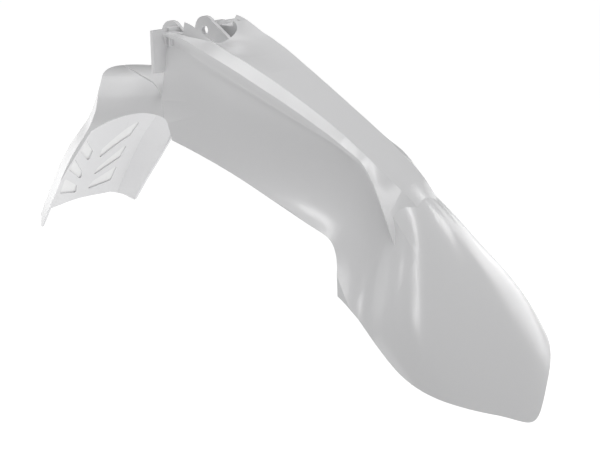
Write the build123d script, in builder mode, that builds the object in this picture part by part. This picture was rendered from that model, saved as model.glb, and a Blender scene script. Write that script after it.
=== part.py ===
"""Front mudguard for an off-road motorcycle: one moulded shell with its mounting lugs.

Frame: millimetres, +X to the front of the machine, +Y to its left, +Z up along the steering axis.
The origin is on the axis of the lugs' cross hole, midway between the two lugs.
The section tables use the steering axis at the lugs as their own zero; the last step moves the part to its origin.
"""

import os
from math import cos, hypot, radians, sin, sqrt

from build123d import *

os.makedirs("parts", exist_ok=True)

# Moulding
WALL = 2.8
REACH = 160.0

# Lower body, from the side walls under the spine to the front spoon.
# Each station: x, crown z, shoulder (y, z), waist (y, z) or None for a round cheek, foot (y, z), skirt (y, z)
BODY = [
    (3.0, -1.0, (44.5, 16.0), (51.0, -36.0), (63.0, -90.0), (66.0, -106.0)),
    (44.0, -2.5, (43.3, 7.0), (46.0, -46.0), (62.0, -97.0), (66.5, -113.0)),
    (84.0, -7.5, (41.3, -8.0), (45.0, -62.0), (62.0, -107.0), (68.0, -123.0)),
    (124.0, -20.5, (36.4, -25.5), (42.3, -77.5), (63.2, -118.0), (71.0, -134.0)),
    (164.0, -39.0, (32.0, -43.0), (39.8, -92.5), (65.0, -129.0), (75.0, -145.0)),
    (204.0, -60.0, (28.8, -62.0), (38.5, -106.5), (66.5, -141.0), (79.0, -157.0)),
    (244.0, -82.5, (28.5, -83.5), (42.0, -129.0), (76.0, -164.0), (91.0, -182.0)),
    (284.0, -104.5, (36.5, -122.0), (57.0, -171.0), (91.0, -206.5), (103.0, -228.0)),
    (324.0, -139.0, (45.3, -157.5), None, (99.5, -234.5), (99.5, -265.0)),
    (364.0, -193.5, (47.5, -202.5), None, (105.0, -265.0), (105.0, -298.0)),
    (404.0, -257.0, (48.0, -264.0), None, (106.0, -322.0), (106.0, -354.0)),
    (444.0, -337.0, (48.0, -344.0), None, (106.0, -404.0), (106.0, -436.0)),
]
SHOULDER_BREAK = 0.95

# Spine cap. Each station: x, trough centre z, ridge (y, z), rim (y, z) at the foot of the ridge's
# outer face or None for a plain chamfer, eave (y, z), height of the band under the eave
CAP = [
    (1.0, 4.0, (39.0, 28.0), (42.0, 17.0), (51.0, 16.5), 13.0),
    (32.0, 3.5, (39.0, 26.0), (41.5, 13.5), (50.0, 12.0), 13.0),
    (64.0, 1.5, (39.5, 11.5), None, (49.8, 1.2), 13.0),
    (96.0, -5.0, (37.2, -1.0), None, (46.7, -11.0), 13.0),
    (128.0, -16.0, (32.6, -15.5), None, (42.0, -25.7), 12.5),
    (160.0, -31.0, (29.0, -31.0), None, (38.0, -40.0), 11.5),
    (192.0, -47.5, (26.0, -47.5), None, (34.3, -55.5), 9.0),
    (224.0, -64.5, (24.3, -65.0), None, (32.0, -71.5), 6.0),
    (256.0, -83.5, (23.6, -85.0), None, (34.0, -90.0), 5.0),
    (288.0, -105.0, (21.0, -107.5), None, (44.0, -131.5), 5.0),
    (320.0, -138.0, (9.0, -140.0), None, (58.0, -180.0), 5.0),
]
RIM_SHARE = 0.1
EAVE_EDGE = 3.5
EAVE_STEP = 2.5
CAP_ROOT = 14.0

# Pocket that ends the band behind its front face, seen from the side: x, z
POCKET = [(6.5, 12.0), (40.0, 5.0), (40.0, -6.5), (6.5, 1.0)]
POCKET_Y = 45.0

# Rear hood: stations like those of the lower body
HOOD = [
    (60.0, -24.0, (20.7, -29.6), None, (46.0, -76.0), (46.0, -330.0)),
    (4.0, -29.0, (26.3, -34.4), None, (58.5, -79.0), (58.5, -330.0)),
    (-53.0, -34.0, (31.5, -39.7), None, (70.0, -87.0), (70.0, -330.0)),
    (-110.0, -38.5, (36.0, -44.5), None, (77.0, -111.0), (77.0, -330.0)),
    (-260.0, -46.0, (36.0, -54.6), None, (80.0, -126.0), (80.0, -330.0)),
]

# Tongue of the body on the hood's roof: its height, and its outline from above on one side
TONGUE_HEIGHT = 1.8
TONGUE = [(-115.0, 0.0), (-96.0, 12.0), (-57.0, 29.0), (-20.0, 42.0), (1.0, 52.0), (14.0, 62.0), (60.0, 62.0)]

# Back of the hood and the flap below it, along a line that runs straight down and back.
# Each station: distance down the line, crown depth, fold (y, depth), bend (y, depth), wall (y, depth);
# depths are measured from the line towards the wheel
FLAP_POINT = (-178.0, 0.0, -150.0)
FLAP_SLOPE = 58.7
FLAP = [
    (-260.0, -51.0, (34.0, -40.0), (60.0, 22.0), (90.0, 70.0)),
    (-120.0, -15.5, (34.0, -0.5), (60.0, 25.0), (90.0, 68.0)),
    (-90.0, -8.5, (32.5, 3.0), (60.0, 25.0), (90.0, 62.0)),
    (-56.0, -1.5, (31.0, 3.0), (60.0, 17.0), (88.0, 52.0)),
    (-23.0, 0.0, (30.0, 3.0), (60.0, 10.5), (87.0, 47.0)),
    (26.0, 0.0, (30.0, 3.0), (60.0, 7.5), (86.0, 45.0)),
    (110.0, 0.0, (30.0, 3.0), (60.0, 8.0), (86.0, 45.0)),
]

# Lower edge seen from the side: x, z from the flap's tail to the spoon's lip
FLAP_EDGE = [(-215.0, -262.0), (-172.0, -201.0), (-142.0, -161.0), (-90.0, -98.0)]
HOOD_EDGE = [(-90.0, -98.0), (-76.0, -90.0), (-47.0, -77.0), (-23.0, -70.5), (12.0, -73.0)]
SIDE_EDGE = [
    (25.0, -93.0), (65.0, -102.0), (136.0, -121.0), (202.0, -141.0),
    (224.0, -148.0), (240.0, -155.0), (254.0, -170.0), (268.0, -197.0),
]
LIP_EDGE = [
    (268.0, -197.0), (297.0, -215.0), (323.0, -231.5), (348.0, -246.0), (376.0, -257.5),
    (399.0, -270.0), (419.0, -290.0), (428.0, -304.0), (460.0, -354.0),
]
EDGE_FLOOR = -620.0

# Lower end of the flap seen from the front: y, z on one side
FLAP_END = [(0.0, -216.0), (46.0, -217.0), (53.0, -219.0), (64.0, -223.0), (72.0, -230.0), (110.0, -234.0)]

# Slanted recesses in the wheel side of the flap, on one side: y, distance down the flap from its middle point
RECESSES = [
    [(7.0, -5.0), (8.0, 11.0), (41.0, -24.0), (45.0, -51.0)],
    [(12.0, 27.0), (9.0, 41.0), (40.0, 13.0), (43.0, -11.0)],
    [(12.0, 50.0), (9.0, 63.0), (40.0, 52.0), (41.0, 27.0)],
]
RECESS_CORNER = 2.0
RECESS_FLOOR = 1.2
RECESS_REACH = 24.0

# Mount bay in the spine, the notch that ends the ridges behind it, and the stem opening
BAY_FRONT = 38.0
BAY_HALF_WIDTH = 33.0
BAY_FLOOR = -4.0
BAY_CORNER = 12.0
NOTCH_FRONT = 25.0
NOTCH_FLOOR = 15.5
STEM_X = 22.0
STEM_RADIUS = 14.0

# Side lugs with a cross hole, and the ear plates, blocks and gussets beside them
LUG_Y = 25.0
LUG_THICKNESS = 5.0
LUG_HOLE = (-7.0, 10.0)
LUG_HOLE_RADIUS = 4.7
LUG_LOBE_RADIUS = 15.0
LUG_FOOT = [(30.0, -6.0), (30.0, 3.0), (4.0, 20.0), (-18.0, 2.0), (4.5, -22.0), (4.5, -6.0)]
EAR_INNER = 40.0
EAR_OUTER = 64.0
EAR_TOP = 19.0
EAR_BOTTOM = -25.0
EAR_REAR = 0.0
EAR_THICKNESS = 4.0
BLOCK_INNER = 26.0
BLOCK_OUTER = 43.0
BLOCK_REAR = -1.0
BLOCK_FRONT = 6.0
BLOCK_TOP = 20.0
BLOCK_BOTTOM = -20.0
GUSSET_INNER = 43.0
GUSSET_OUTER = 49.5
GUSSET_X = 13.0
GUSSET_THICKNESS = 2.0
GUSSET_TOP = 12.5
GUSSET_BOTTOM = 2.5


def inset_points(points, slope, inset):
    """Move section points inwards so that the skin keeps its thickness along a sloping crown."""
    moved = []
    last = len(points) - 1
    for index, (y, z) in enumerate(points):
        before = points[max(index - 1, 0)]
        after = points[min(index + 1, last)]
        run = after[0] - before[0]
        rise = after[1] - before[1]
        if index == 0:
            run, rise = 1.0, 0.0
        length = hypot(run, rise)
        normal_y = -rise / length
        normal_z = run / length
        depth = inset * sqrt(1.0 + (slope * normal_z) ** 2)
        moved.append((y - depth * normal_y, z - depth * normal_z))
    return moved


def slope_at(stations, index):
    """Return how fast the crown falls along X at a station."""
    before = stations[max(index - 1, 0)]
    after = stations[min(index + 1, len(stations) - 1)]
    return (after[1] - before[1]) / (after[0] - before[0])


def mirror_point(point):
    """Return a section point on the other side of the middle plane."""
    return (-point[0], point[1])


def through(start, middle, end):
    """Return the control point that takes a quadratic curve through its middle point."""
    return tuple(2.0 * m - 0.5 * (a + b) for a, m, b in zip(start, middle, end))


def shell_section(stations, index, inset):
    """Return one section of the lower body or the hood as curve control points; an inset gives its hollow."""
    x, crown, shoulder, waist, foot, skirt = stations[index]
    if waist is None:
        lean = SHOULDER_BREAK * 2.0 * (shoulder[1] - crown) / shoulder[0]
        turn = (foot[0], shoulder[1] + lean * (foot[0] - shoulder[0]))
        waist = tuple(0.25 * a + 0.5 * t + 0.25 * b for a, t, b in zip(shoulder, turn, foot))
    points = [(0.0, crown), shoulder, waist, foot, skirt]
    if inset:
        points = inset_points(points, slope_at(stations, index), inset)
    crown_point, shoulder, waist, foot, skirt = points
    left_shoulder, left_foot, left_skirt = mirror_point(shoulder), mirror_point(foot), mirror_point(skirt)
    side_turn = through(shoulder, waist, foot)
    return [
        [left_shoulder, through(left_shoulder, crown_point, shoulder), shoulder],
        [shoulder, side_turn, foot],
        [foot, skirt],
        [skirt, left_skirt],
        [left_skirt, left_foot],
        [left_foot, mirror_point(side_turn), left_shoulder],
    ]


def cap_section(station, inset):
    """Return one section of the spine cap as curve control points; an inset gives its hollow."""
    x, trough, ridge, rim, eave, band = station
    if rim is None:
        rim = tuple(a + RIM_SHARE * (b - a) for a, b in zip(ridge, eave))
    wall_y = eave[0] - EAVE_STEP - inset
    base_z = min(trough - 24.0, eave[1] - 18.0)
    if inset:
        top = (0.0, trough - 1.15 * inset)
        rim_z = rim[1] - 0.6 * inset
        side = [
            (ridge[0] - 1.2 * inset, ridge[1] - 1.3 * inset),
            (rim[0] - inset, rim_z),
            (wall_y - 0.8, min(eave[1] + 1.0 - 0.45 * inset, rim_z - 0.5)),
            (wall_y - CAP_ROOT, base_z),
        ]
    else:
        top = (0.0, trough)
        side = [
            ridge,
            rim,
            eave,
            (eave[0], eave[1] - EAVE_EDGE),
            (wall_y, eave[1] - EAVE_EDGE - 0.7),
            (wall_y - 0.4, eave[1] - band),
            (wall_y - CAP_ROOT, eave[1] - band - 1.5),
            (wall_y - CAP_ROOT, base_z),
        ]
    left = [mirror_point(point) for point in side]
    chain = side + left[::-1]
    outline = [[left[0], through(left[0], top, side[0]), side[0]]]
    outline += [[start, end] for start, end in zip(chain, chain[1:])]
    return outline


def rates(places, values):
    """Return the slopes of a smooth curve through the values."""
    steps = [(b - a) for a, b in zip(places, places[1:])]
    slopes = [(b - a) / step for a, b, step in zip(values, values[1:], steps)]
    inner = [
        (before * ahead + after * behind) / (ahead + behind)
        for before, after, behind, ahead in zip(slopes, slopes[1:], steps, steps[1:])
    ]
    first = 1.5 * slopes[0] - 0.5 * inner[0]
    last = 1.5 * slopes[-1] - 0.5 * inner[-1]
    return [first] + inner + [last]


def skin_rows(places, points):
    """Return the control rows of the smooth spans that join one section point from station to station."""
    y_rates = rates(places, [point[0] for point in points])
    z_rates = rates(places, [point[1] for point in points])
    rows = []
    for index in range(len(places) - 1):
        third = (places[index + 1] - places[index]) / 3.0
        (y0, z0), (y1, z1) = points[index], points[index + 1]
        rows.append([
            (places[index], y0, z0),
            (places[index] + third, y0 + third * y_rates[index], z0 + third * z_rates[index]),
            (places[index + 1] - third, y1 - third * y_rates[index + 1], z1 - third * z_rates[index + 1]),
            (places[index + 1], y1, z1),
        ])
    return rows


def end_face(place, section):
    """Return the flat face that closes a skin at one of its end stations."""
    edges = []
    for curve in section:
        points = [(place, y, z) for y, z in curve]
        if len(points) == 2:
            edges.append(Edge.make_line(*points))
        else:
            edges.append(Edge.make_bezier(*points))
    return Face(Wire(edges))


def skin(places, sections):
    """Return the solid whose skin runs smoothly through the sections, patch by patch."""
    faces = [end_face(places[0], sections[0]), end_face(places[-1], sections[-1])]
    for curve_index in range(len(sections[0])):
        curves = [section[curve_index] for section in sections]
        rows = [skin_rows(places, list(points)) for points in zip(*curves)]
        for span in range(len(places) - 1):
            faces.append(Face.make_bezier_surface([row[span] for row in rows]))
    return Solid(Shell(faces))


def shell_form(stations, inset, end_shift=0.0):
    """Return the filled form of the lower body or the hood; the end shift moves its first station in."""
    places = [station[0] for station in stations]
    places[0] += end_shift
    return skin(places, [shell_section(stations, index, inset) for index in range(len(stations))])


def cap_form(inset, end_shift=0.0):
    """Return the filled form of the spine cap."""
    places = [station[0] for station in CAP]
    places[0] += end_shift
    return skin(places, [cap_section(station, inset) for station in CAP])


# Lower body and spine cap: the outside and the hollow
with BuildPart() as body:
    add(shell_form(BODY, 0.0))
with BuildPart() as body_hollow:
    add(shell_form(BODY, WALL, WALL))
with BuildPart() as cap:
    add(cap_form(0.0))
with BuildPart() as cap_hollow:
    add(cap_form(WALL, WALL + 2.0))


def flap_section(station, inset):
    """Return one section across the back and the flap, filled towards the wheel; an inset gives its hollow."""
    crown, profile = station[1], station[2:]
    points = [(0.0, -crown)] + [(y, -depth) for y, depth in profile]
    top, *side = inset_points(points, 0.0, inset)
    side.append((side[-1][0], -2.0 * REACH))
    left = [mirror_point(point) for point in side]
    chain = side + left[::-1]
    outline = [[left[0], through(left[0], top, side[0]), side[0]]]
    outline += [[start, end] for start, end in zip(chain, chain[1:])]
    return outline


def rear_form(inset):
    """Return the filled hood with its back and flap; an inset gives its hollow."""
    down = (-cos(radians(FLAP_SLOPE)), 0.0, -sin(radians(FLAP_SLOPE)))
    places = [station[0] for station in FLAP]
    with BuildPart() as form:
        with Locations(Plane(origin=FLAP_POINT, x_dir=down, z_dir=(down[2], 0.0, -down[0]))):
            add(skin(places, [flap_section(station, inset) for station in FLAP]))
        add(shell_form(HOOD, inset), mode=Mode.INTERSECT)
    return form.part


# Rear hood and flap, and the tongue that laps onto the hood's roof
with BuildPart() as rear:
    add(rear_form(0.0))
with BuildPart() as rear_hollow:
    add(rear_form(WALL))
with BuildPart() as tongue:
    with BuildSketch(Plane.XY.offset(-REACH)):
        with BuildLine():
            Polyline(*TONGUE, *[(x, -y) for x, y in reversed(TONGUE[1:])], close=True)
        make_face()
    extrude(amount=2.0 * REACH)
    add(shell_form(HOOD, -TONGUE_HEIGHT), mode=Mode.INTERSECT)


# Space of the slanted recesses, which leave a thin floor on the flap's outer side
with BuildPart() as recess_space:
    outward = (-sin(radians(FLAP_SLOPE)), 0.0, cos(radians(FLAP_SLOPE)))
    with BuildSketch(Plane(origin=FLAP_POINT, x_dir=(0.0, 1.0, 0.0), z_dir=outward)) as recesses:
        for recess in RECESSES:
            with BuildLine():
                Polyline(*recess, close=True)
            make_face()
        fillet(recesses.vertices(), RECESS_CORNER)
        mirror(about=Plane.YZ)
    extrude(amount=RECESS_REACH, both=True)
    add(rear_form(RECESS_FLOOR), mode=Mode.INTERSECT)


def bay_form(growth):
    """Return the space of the mount bay and its notch; the growth adds the thickness of their walls."""
    front = BAY_FRONT + growth
    half_width = BAY_HALF_WIDTH + growth
    with BuildPart() as form:
        with BuildSketch(Plane.XY.offset(BAY_FLOOR - growth)):
            with Locations((front - REACH / 2.0, 0.0)):
                RectangleRounded(REACH, 2.0 * half_width, BAY_CORNER + growth)
        extrude(amount=REACH)
        with BuildSketch(Plane.XY.offset(NOTCH_FLOOR - growth)):
            with Locations((NOTCH_FRONT + growth - REACH / 2.0, 0.0)):
                Rectangle(REACH, REACH)
        extrude(amount=REACH)
    return form.part


# Shell: the filled outside less the hollow, with the walls of the mount bay left between them
with BuildPart() as outside:
    add(body.part)
    add(cap.part)
    add(rear.part)
    add(tongue.part)
    add(bay_form(0.0), mode=Mode.SUBTRACT)
with BuildPart() as hollow:
    add(body_hollow.part)
    add(cap_hollow.part)
    add(bay_form(WALL), mode=Mode.SUBTRACT)
    add(rear_hollow.part)
with BuildPart() as mudguard:
    add(outside.part)
    add(hollow.part, mode=Mode.SUBTRACT)

    # Lower edge, cut square to the middle plane
    with BuildSketch(Plane.XZ):
        with BuildLine():
            Polyline(*FLAP_EDGE)
            Spline(*HOOD_EDGE)
            Line(HOOD_EDGE[-1], SIDE_EDGE[0])
            Spline(*SIDE_EDGE)
            Spline(*LIP_EDGE)
            Polyline(LIP_EDGE[-1], (LIP_EDGE[-1][0], EDGE_FLOOR), (FLAP_EDGE[0][0], EDGE_FLOOR), FLAP_EDGE[0])
        make_face()
    extrude(amount=REACH, both=True, mode=Mode.SUBTRACT)

    # Lower end of the flap, cut square to the front view
    flap_tail = [mirror_point(point) for point in reversed(FLAP_END[1:])] + FLAP_END
    with BuildSketch(Plane.YZ.offset(FLAP_POINT[0] - REACH)):
        with BuildLine():
            Polyline(*flap_tail, (FLAP_END[-1][0], EDGE_FLOOR), (-FLAP_END[-1][0], EDGE_FLOOR), close=True)
        make_face()
    extrude(amount=2.0 * REACH, mode=Mode.SUBTRACT)

    # Slanted recesses in the flap
    add(recess_space.part, mode=Mode.SUBTRACT)

    # Pockets behind the bands under the eaves
    for side in (-1.0, 1.0):
        with BuildSketch(Plane.XZ.offset(-side * POCKET_Y)):
            with BuildLine():
                Polyline(*POCKET, close=True)
            make_face()
        extrude(amount=-side * POCKET_Y, mode=Mode.SUBTRACT)

    # Ear plates across the rear end, a block between each plate and its lug, and a gusset under each eave
    for side in (-1.0, 1.0):
        ear_middle = (EAR_REAR + EAR_THICKNESS / 2.0, side * (EAR_INNER + EAR_OUTER) / 2.0)
        with Locations((*ear_middle, (EAR_TOP + EAR_BOTTOM) / 2.0)):
            Box(EAR_THICKNESS, EAR_OUTER - EAR_INNER, EAR_TOP - EAR_BOTTOM)
        block_middle = ((BLOCK_REAR + BLOCK_FRONT) / 2.0, side * (BLOCK_INNER + BLOCK_OUTER) / 2.0)
        with Locations((*block_middle, (BLOCK_TOP + BLOCK_BOTTOM) / 2.0)):
            Box(BLOCK_FRONT - BLOCK_REAR, BLOCK_OUTER - BLOCK_INNER, BLOCK_TOP - BLOCK_BOTTOM)
        gusset_middle = (GUSSET_X, side * (GUSSET_INNER + GUSSET_OUTER) / 2.0)
        with Locations((*gusset_middle, (GUSSET_TOP + GUSSET_BOTTOM) / 2.0)):
            Box(GUSSET_THICKNESS, GUSSET_OUTER - GUSSET_INNER, GUSSET_TOP - GUSSET_BOTTOM)

    # Side lugs that stand on the bay's floor, each with a round lobe
    for side in (-1.0, 1.0):
        with BuildSketch(Plane.XZ.offset(-side * LUG_Y)):
            with BuildLine():
                Polyline(*LUG_FOOT, close=True)
            make_face()
            with Locations(LUG_HOLE):
                Circle(LUG_LOBE_RADIUS)
        extrude(amount=LUG_THICKNESS / 2.0, both=True)

    # Cross holes of the lugs and the stem opening in the bay's floor
    with BuildSketch(Plane.XZ):
        with Locations(LUG_HOLE):
            Circle(LUG_HOLE_RADIUS)
    extrude(amount=LUG_Y + LUG_THICKNESS, both=True, mode=Mode.SUBTRACT)
    with BuildSketch(Plane.XY.offset(BAY_FLOOR - 2.0 * WALL)):
        with Locations((STEM_X, 0.0)):
            Circle(STEM_RADIUS)
    extrude(amount=4.0 * WALL, mode=Mode.SUBTRACT)

# The finished part, moved so that its origin lies on the cross hole of the lugs
with BuildPart() as placed:
    with Locations((-LUG_HOLE[0], 0.0, -LUG_HOLE[1])):
        add(mudguard.part)

placed.part.label = "mudguard"
export_step(placed.part, "parts/mudguard.step")
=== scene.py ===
"""Studio scene of a moulded front mudguard for an off-road motorcycle."""

import logging
import math
from dataclasses import dataclass, field
from enum import Enum

import bpy
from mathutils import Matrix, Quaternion, Vector


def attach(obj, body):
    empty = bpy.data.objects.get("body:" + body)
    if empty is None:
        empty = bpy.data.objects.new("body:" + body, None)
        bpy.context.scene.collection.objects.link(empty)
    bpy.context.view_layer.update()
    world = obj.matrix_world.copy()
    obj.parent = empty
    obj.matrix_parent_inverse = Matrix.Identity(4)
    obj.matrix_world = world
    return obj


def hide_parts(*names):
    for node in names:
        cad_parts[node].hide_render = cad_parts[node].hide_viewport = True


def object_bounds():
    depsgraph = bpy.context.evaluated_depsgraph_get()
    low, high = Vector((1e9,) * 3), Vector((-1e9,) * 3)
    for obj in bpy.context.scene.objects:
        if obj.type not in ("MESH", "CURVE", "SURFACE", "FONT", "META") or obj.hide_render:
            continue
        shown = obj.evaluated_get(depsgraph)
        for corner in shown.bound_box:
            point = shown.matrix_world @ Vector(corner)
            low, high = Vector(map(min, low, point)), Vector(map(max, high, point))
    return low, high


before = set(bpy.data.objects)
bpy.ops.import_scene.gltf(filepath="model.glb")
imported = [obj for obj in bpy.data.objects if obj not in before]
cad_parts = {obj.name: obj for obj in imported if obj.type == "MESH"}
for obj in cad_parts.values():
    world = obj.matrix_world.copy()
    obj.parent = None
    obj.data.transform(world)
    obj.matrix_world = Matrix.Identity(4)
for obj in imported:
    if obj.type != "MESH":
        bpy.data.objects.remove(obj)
CAD_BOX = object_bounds()

logging.basicConfig(level=logging.INFO, format="%(message)s")
LOG = logging.getLogger("mudguard")

MM = 0.001

# Width of the photograph in pixels, and of the camera's sensor in millimetres
IMAGE_WIDTH = 600
SENSOR_WIDTH = 36.0

# The sRGB curve: a straight start up to the knee, then a power
SRGB_KNEE = 0.04045
SRGB_START = 12.92
SRGB_OFFSET = 0.055
SRGB_POWER = 2.4

WHITE = "FFFFFF"

# Value of a face: one on the thin floor of a recess in the flap, and zero elsewhere; the finish paints
# those faces lighter, as painted light for the light shining through the thin web
PAINTED_BACKLIGHT_WEB = "painted_backlight_web"


class Domain(Enum):
    """The part of a mesh that a value belongs to."""

    FACE = "FACE"
    CORNER = "CORNER"


def linear(hex_colour: str) -> tuple[float, float, float, float]:
    """Turn an sRGB hex colour into linear values.

    Args:
        hex_colour: six hex digits, red first.

    Returns:
        Red, green, blue and an alpha of one.
    """
    channels = []
    for start in (0, 2, 4):
        value = int(hex_colour[start:start + 2], 16) / 255.0
        if value <= SRGB_KNEE:
            channels.append(value / SRGB_START)
        else:
            channels.append(((value + SRGB_OFFSET) / (1.0 + SRGB_OFFSET)) ** SRGB_POWER)
    return (channels[0], channels[1], channels[2], 1.0)


def direction(azimuth: float, elevation: float) -> Vector:
    """Turn two angles into the direction that they name.

    Args:
        azimuth: degrees from the machine's front towards its left.
        elevation: degrees up from the level.

    Returns:
        A vector of length one.
    """
    turn = math.radians(azimuth)
    rise = math.radians(elevation)
    return Vector((
        math.cos(turn) * math.cos(rise),
        math.sin(turn) * math.cos(rise),
        math.sin(rise),
    ))


def add_object(name: str, data: bpy.types.ID) -> bpy.types.Object:
    """Put a mesh, a lamp or a camera into the scene.

    Args:
        name: the object's name.
        data: the mesh, the lamp or the camera.

    Returns:
        The new object.
    """
    thing = bpy.data.objects.new(name, data)
    bpy.context.scene.collection.objects.link(thing)
    return thing


def add_node(
    tree: bpy.types.NodeTree,
    kind: str,
    settings: dict[str, object],
    links: dict[str | int, bpy.types.NodeSocket],
) -> bpy.types.Node:
    """Add a node with its settings and its incoming links.

    Args:
        tree: the node tree that takes the node.
        kind: the node's type name.
        settings: attribute names, or input socket names, with their values.
        links: input socket names, or places, with the output sockets that feed them.

    Returns:
        The new node.
    """
    node = tree.nodes.new(kind)
    for name, value in settings.items():
        if name in node.inputs:
            node.inputs[name].default_value = value
        else:
            setattr(node, name, value)
    for name, source in links.items():
        tree.links.new(source, node.inputs[name])
    return node


# Moulding copies the polish of the tool. The eye sees a clean white gloss with soft-ended highlights over
# a faintly uneven skin. A thin web is painted a lighter colour: painted light that stands in for the light
# shining through it.
@dataclass(frozen=True)
class MouldedPolypropylene:
    """White polypropylene, injection moulded in a polished tool."""

    name: str = "white_polypropylene_moulded"
    colour: str = "E4E4E5"
    # Painted light: a lighter colour on the thin webs, in place of the light that would shine through them
    backlight_painted_colour: str = "F0F0F0"
    ior: float = 1.49
    roughness: float = 0.2
    roughness_spread: float = 0.04
    # Flow marks, along which the gloss changes a little
    flow_mm: float = 60.0
    flow_detail: float = 2.0
    # Orange peel: the real one is finer than a pixel, so it is drawn as coarse as it needs to show
    peel_mm: float = 5.0
    peel_detail: float = 1.0
    peel_height_mm: float = 0.01
    peel_strength: float = 1.0

    def make(self) -> bpy.types.Material:
        """Build the material.

        Returns:
            The finished material.
        """
        material = bpy.data.materials.new(self.name)
        material.use_nodes = True
        tree = material.node_tree
        tree.nodes.clear()
        place = add_node(tree, "ShaderNodeTexCoord", {}, {})
        flow = add_node(
            tree, "ShaderNodeTexNoise",
            {"Scale": 1.0 / (self.flow_mm * MM), "Detail": self.flow_detail},
            {"Vector": place.outputs["Object"]},
        )
        roughness = add_node(
            tree, "ShaderNodeMapRange",
            {
                "To Min": self.roughness - self.roughness_spread,
                "To Max": self.roughness + self.roughness_spread,
            },
            {"Value": flow.outputs["Fac"]},
        )
        peel = add_node(
            tree, "ShaderNodeTexNoise",
            {"Scale": 1.0 / (self.peel_mm * MM), "Detail": self.peel_detail},
            {"Vector": place.outputs["Object"]},
        )
        bump = add_node(
            tree, "ShaderNodeBump",
            {"Distance": self.peel_height_mm * MM, "Strength": self.peel_strength},
            {"Height": peel.outputs["Fac"]},
        )
        # Painted light: the thin webs are mixed towards a lighter colour that stands in for light shining
        # through them
        backlight_mask = add_node(tree, "ShaderNodeAttribute", {"attribute_name": PAINTED_BACKLIGHT_WEB}, {})
        colour_and_painted_backlight = add_node(
            tree, "ShaderNodeMixRGB",
            {"Color1": linear(self.colour), "Color2": linear(self.backlight_painted_colour)},
            {"Fac": backlight_mask.outputs["Fac"]},
        )
        shader = add_node(
            tree, "ShaderNodeBsdfPrincipled",
            {"IOR": self.ior},
            {
                "Base Color": colour_and_painted_backlight.outputs["Color"],
                "Roughness": roughness.outputs["Result"],
                "Normal": bump.outputs["Normal"],
            },
        )
        add_node(tree, "ShaderNodeOutputMaterial", {}, {"Surface": shader.outputs["BSDF"]})
        return material


# Paper is matt. The light behind it makes the eye see one even white, with no shadow on it.
@dataclass(frozen=True)
class StudioPaper:
    """White background paper with a light behind it."""

    name: str = "white_studio_paper"
    colour: str = "606060"
    roughness: float = 0.9
    glow_colour: str = WHITE
    glow: float = 1.0

    def make(self) -> bpy.types.Material:
        """Build the material.

        Returns:
            The finished material.
        """
        material = bpy.data.materials.new(self.name)
        material.use_nodes = True
        shader = material.node_tree.nodes["Principled BSDF"]
        shader.inputs["Base Color"].default_value = linear(self.colour)
        shader.inputs["Roughness"].default_value = self.roughness
        shader.inputs["Emission Color"].default_value = linear(self.glow_colour)
        shader.inputs["Emission Strength"].default_value = self.glow
        return material


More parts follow.
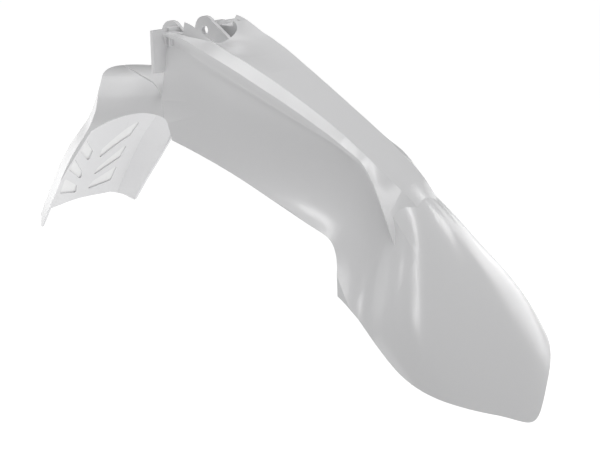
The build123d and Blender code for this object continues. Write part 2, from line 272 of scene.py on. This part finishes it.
@dataclass(frozen=True)
class MouldedSkin:
    """Geometry nodes that weld the solid's loose triangles into one closed skin.

    The skin keeps the solid's own normals, and its thin webs are marked for the painted backlight of the
    finish.
    """

    name: str = "moulded_skin"
    normals: str = "moulded_normal"
    merge_mm: float = 0.01
    # A thin web is a wall with a thickness between these two, further back than this place
    web_least_mm: float = 0.7
    web_most_mm: float = 1.7
    flap_from_mm: float = -95.0
    # The ray that measures a wall starts this far below the surface, so that it misses its own face
    start_depth_mm: float = 0.02

    def sockets(self, tree: bpy.types.NodeTree) -> None:
        """Give the tree its named inputs and its output.

        Args:
            tree: the new tree.
        """
        kinds = {
            "Solid": "NodeSocketGeometry",
            "Merge distance": "NodeSocketFloat",
            "Web at least": "NodeSocketFloat",
            "Web at most": "NodeSocketFloat",
            "Flap from": "NodeSocketFloat",
            "Start depth": "NodeSocketFloat",
            "Finish": "NodeSocketMaterial",
        }
        for name, kind in kinds.items():
            tree.interface.new_socket(name, in_out="INPUT", socket_type=kind)
        tree.interface.new_socket("Skin", in_out="OUTPUT", socket_type="NodeSocketGeometry")

    def weld(
        self,
        tree: bpy.types.NodeTree,
        given: dict[str, bpy.types.NodeSocket],
        normal: bpy.types.NodeSocket,
    ) -> bpy.types.NodeSocket:
        """Note the solid's normal at each corner, then weld the triangles.

        Args:
            tree: the tree.
            given: the tree's inputs by name.
            normal: the normal of the surface.

        Returns:
            The closed skin.
        """
        noted = add_node(
            tree, "GeometryNodeStoreNamedAttribute",
            {"data_type": "FLOAT_VECTOR", "domain": Domain.CORNER.value, "Name": self.normals},
            {"Geometry": given["Solid"], "Value": normal},
        )
        welded = add_node(
            tree, "GeometryNodeMergeByDistance",
            {},
            {"Geometry": noted.outputs["Geometry"], "Distance": given["Merge distance"]},
        )
        smooth = add_node(tree, "GeometryNodeSetShadeSmooth", {}, {0: welded.outputs["Geometry"]})
        return smooth.outputs[0]

    def find_webs(
        self,
        tree: bpy.types.NodeTree,
        given: dict[str, bpy.types.NodeSocket],
        normal: bpy.types.NodeSocket,
        skin: bpy.types.NodeSocket,
    ) -> bpy.types.NodeSocket:
        """Find the faces with a thin web behind them, on the side of the flap that faces the wheel.

        Args:
            tree: the tree.
            given: the tree's inputs by name.
            normal: the normal of the surface.
            skin: the closed skin.

        Returns:
            True for each face that is found.
        """
        inward = add_node(
            tree, "ShaderNodeVectorMath",
            {"operation": "SCALE", "Scale": -1.0},
            {"Vector": normal},
        )
        depth = add_node(
            tree, "ShaderNodeVectorMath",
            {"operation": "SCALE"},
            {"Vector": inward.outputs["Vector"], "Scale": given["Start depth"]},
        )
        centre = add_node(tree, "GeometryNodeInputPosition", {}, {})
        start = add_node(
            tree, "ShaderNodeVectorMath",
            {"operation": "ADD"},
            {0: centre.outputs["Position"], 1: depth.outputs["Vector"]},
        )
        across = add_node(
            tree, "GeometryNodeRaycast",
            {},
            {
                "Target Geometry": skin,
                "Source Position": start.outputs["Vector"],
                "Ray Direction": inward.outputs["Vector"],
                "Ray Length": given["Web at most"],
            },
        )
        facing = add_node(tree, "ShaderNodeSeparateXYZ", {}, {"Vector": normal})
        along = add_node(tree, "ShaderNodeSeparateXYZ", {}, {"Vector": centre.outputs["Position"]})
        # In each test the first value is the larger one; the last test is against zero
        tests = (
            {0: across.outputs["Hit Distance"], 1: given["Web at least"]},
            {0: given["Flap from"], 1: along.outputs["X"]},
            {0: facing.outputs["X"]},
        )
        web = across.outputs["Is Hit"]
        for sides in tests:
            larger = add_node(
                tree, "FunctionNodeCompare",
                {"data_type": "FLOAT", "operation": "GREATER_THAN"},
                sides,
            )
            both = add_node(
                tree, "FunctionNodeBooleanMath",
                {"operation": "AND"},
                {0: web, 1: larger.outputs["Result"]},
            )
            web = both.outputs["Boolean"]
        return web

    def make(self) -> bpy.types.NodeTree:
        """Build the tree: weld the triangles, mark the thin webs and give the skin its finish.

        Returns:
            The geometry node tree.
        """
        tree = bpy.data.node_groups.new(self.name, "GeometryNodeTree")
        self.sockets(tree)
        given = {socket.name: socket for socket in add_node(tree, "NodeGroupInput", {}, {}).outputs}
        normal = add_node(tree, "GeometryNodeInputNormal", {}, {}).outputs["Normal"]
        skin = self.weld(tree, given, normal)
        marked = add_node(
            tree, "GeometryNodeStoreNamedAttribute",
            {"data_type": "FLOAT", "domain": Domain.FACE.value, "Name": PAINTED_BACKLIGHT_WEB},
            {"Geometry": skin, "Value": self.find_webs(tree, given, normal, skin)},
        )
        real = add_node(
            tree, "GeometryNodeRealizeInstances",
            {},
            {"Geometry": marked.outputs["Geometry"]},
        )
        dressed = add_node(
            tree, "GeometryNodeSetMaterial",
            {},
            {"Geometry": real.outputs["Geometry"], "Material": given["Finish"]},
        )
        add_node(tree, "NodeGroupOutput", {}, {"Skin": dressed.outputs["Geometry"]})
        return tree

    def put_on(self, piece: bpy.types.Object, finish: bpy.types.Material) -> None:
        """Run the tree on a piece and keep the result as the piece's plain mesh.

        Args:
            piece: the piece with the solid's triangles.
            finish: the material that the skin gets.
        """
        modifier = piece.modifiers.new(self.name, "NODES")
        modifier.node_group = self.make()
        values = {
            "Merge distance": self.merge_mm * MM,
            "Web at least": self.web_least_mm * MM,
            "Web at most": self.web_most_mm * MM,
            "Flap from": self.flap_from_mm * MM,
            "Start depth": self.start_depth_mm * MM,
            "Finish": finish,
        }
        for socket in modifier.node_group.interface.items_tree:
            if socket.name in values:
                modifier[socket.identifier] = values[socket.name]
        graph = bpy.context.evaluated_depsgraph_get()
        mesh = bpy.data.meshes.new_from_object(
            piece.evaluated_get(graph), preserve_all_data_layers=True, depsgraph=graph,
        )
        mesh.name = piece.name
        piece.modifiers.remove(modifier)
        piece.data = mesh
        # The weld changes the normals, so the noted ones are set again
        noted = mesh.attributes[self.normals]
        mesh.normals_split_custom_set([corner.vector for corner in noted.data])
        mesh.attributes.remove(mesh.attributes[self.normals])


@dataclass
class Mudguard:
    """The moulded mudguard, one piece from the spoon's lip to the flap."""

    name: str = "mudguard_shell"
    node: str = "mudguard"
    body: str = "root"
    slot: str = "white_polypropylene"
    skin: MouldedSkin = field(default_factory=MouldedSkin)
    finish: MouldedPolypropylene = field(default_factory=MouldedPolypropylene)

    def build(self) -> bpy.types.Object:
        """Copy the solid's surface into a piece of its own.

        Returns:
            The bare piece.
        """
        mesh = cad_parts[self.node].data.copy()
        mesh.materials.clear()
        return add_object(self.name, mesh)

    def dress(self, piece: bpy.types.Object) -> None:
        """Give the piece its skin and finish, and let it stand for the solid.

        Args:
            piece: the bare piece.
        """
        self.skin.put_on(piece, self.finish.make())
        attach(piece, self.body)
        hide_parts(self.node)


@dataclass(frozen=True)
class SoftBox:
    """A flat soft light that faces the mudguard.

    Its angles are in degrees, and it rolls about its own axis.
    """

    name: str
    azimuth: float
    elevation: float
    width_mm: float
    height_mm: float
    brightness: float
    roll: float = 0.0
    distance_mm: float = 2000.0
    aim_mm: tuple[float, float, float] = (120.0, 0.0, -120.0)

    def hang(self) -> None:
        """Hang the light, turned towards the point that it faces."""
        towards = direction(self.azimuth, self.elevation)
        lamp = bpy.data.lights.new(self.name, "AREA")
        lamp.shape = "RECTANGLE"
        lamp.size = self.width_mm * MM
        lamp.size_y = self.height_mm * MM
        # A flat lamp sends out pi times its brightness from each square metre
        lamp.energy = self.brightness * math.pi * lamp.size * lamp.size_y
        light = add_object(self.name, lamp)
        light.location = (Vector(self.aim_mm) + towards * self.distance_mm) * MM
        turn = Quaternion((0.0, 0.0, 1.0), math.radians(self.roll))
        light.rotation_euler = (towards.to_track_quat("Z", "Y") @ turn).to_euler()
        light.visible_camera = False


@dataclass
class Studio:
    """The pale floor, the soft lights and the camera."""

    floor_gap_mm: float = 260.0
    floor_size_mm: float = 40000.0
    sky: float = 0.08
    backdrop: float = 1.0
    camera_place_mm: tuple[float, float, float] = (854.0, -834.0, 168.0)
    camera_azimuth: float = -50.0
    camera_elevation: float = 18.0
    camera_reach_mm: float = 100000.0
    focal_pixels: float = 1100.0
    paper: StudioPaper = field(default_factory=StudioPaper)
    # The strips are mirrored in the chamfers along the spine, and the far boxes in the crown of the spoon.
    # Each box: name, azimuth, elevation, width, height, brightness, roll
    boxes: tuple[SoftBox, ...] = (
        SoftBox("over_box", 0.0, 90.0, 1400.0, 1400.0, 1.2),
        SoftBox("rear_ridge_strip", -102.0, 62.0, 560.0, 180.0, 12.0, 16.0),
        SoftBox("rear_top_strip", -76.0, 72.0, 480.0, 180.0, 8.5, 70.0),
        SoftBox("middle_ridge_strip", -5.0, 83.0, 920.0, 180.0, 7.0),
        SoftBox("front_top_strip", 12.0, 64.0, 850.0, 160.0, 12.0, 29.0),
        SoftBox("front_ridge_strip", -22.0, 51.0, 620.0, 180.0, 9.0, 16.0),
        SoftBox("far_upper_box", 59.0, 29.0, 480.0, 520.0, 4.8),
        SoftBox("far_middle_box", 75.0, 14.0, 560.0, 560.0, 2.1),
        SoftBox("far_lower_box", 80.0, 0.0, 1150.0, 500.0, 2.1),
        SoftBox("back_low_box", -175.0, 5.0, 1700.0, 1500.0, 0.85),
        SoftBox("back_high_box", 175.0, 44.0, 1700.0, 1300.0, 0.95),
    )

    def lay_floor(self) -> None:
        """Lay the floor below the lowest point of the mudguard."""
        half = self.floor_size_mm * MM / 2.0
        height = CAD_BOX[0][2] - self.floor_gap_mm * MM
        corners = [
            (-half, -half, height),
            (half, -half, height),
            (half, half, height),
            (-half, half, height),
        ]
        mesh = bpy.data.meshes.new("floor")
        mesh.from_pydata(corners, [], [(0, 1, 2, 3)])
        mesh.materials.append(self.paper.make())
        floor = add_object("floor", mesh)

    def set_lights(self) -> None:
        """Hang the soft boxes in a dim room with a white backdrop."""
        world = bpy.data.worlds.new("studio")
        bpy.context.scene.world = world
        world.use_nodes = True
        tree = world.node_tree
        # The camera sees a white backdrop past the floor, and every other ray meets a dim sky
        ray = add_node(tree, "ShaderNodeLightPath", {}, {})
        strength = add_node(
            tree, "ShaderNodeMapRange",
            {"To Min": self.sky, "To Max": self.backdrop},
            {"Value": ray.outputs["Is Camera Ray"]},
        )
        background = tree.nodes["Background"]
        background.inputs["Color"].default_value = linear(WHITE)
        tree.links.new(strength.outputs["Result"], background.inputs["Strength"])
        for box in self.boxes:
            box.hang()
        bpy.context.scene.view_settings.view_transform = "Standard"

    def set_camera(self) -> None:
        """Set the camera at the photograph's angle."""
        lens = bpy.data.cameras.new("camera")
        lens.sensor_width = SENSOR_WIDTH
        lens.sensor_fit = "HORIZONTAL"
        lens.lens = self.focal_pixels / IMAGE_WIDTH * SENSOR_WIDTH
        lens.clip_end = self.camera_reach_mm * MM
        camera = add_object("camera", lens)
        towards = direction(self.camera_azimuth, self.camera_elevation)
        camera.location = Vector(self.camera_place_mm) * MM
        camera.rotation_euler = towards.to_track_quat("Z", "Y").to_euler()
        bpy.context.scene.camera = camera

    def build(self) -> None:
        """Set up the floor, the lights and the camera."""
        self.lay_floor()
        self.set_lights()
        self.set_camera()


def main() -> None:
    """Build the mudguard and its studio, and log the piece's face count."""
    Studio().build()
    LOG.info("studio: floor, lights and camera set")
    mudguard = Mudguard()
    piece = mudguard.build()
    mudguard.dress(piece)
    LOG.info("%s: %d faces", piece.name, len(piece.data.polygons))


if __name__ == "__main__":
    main()
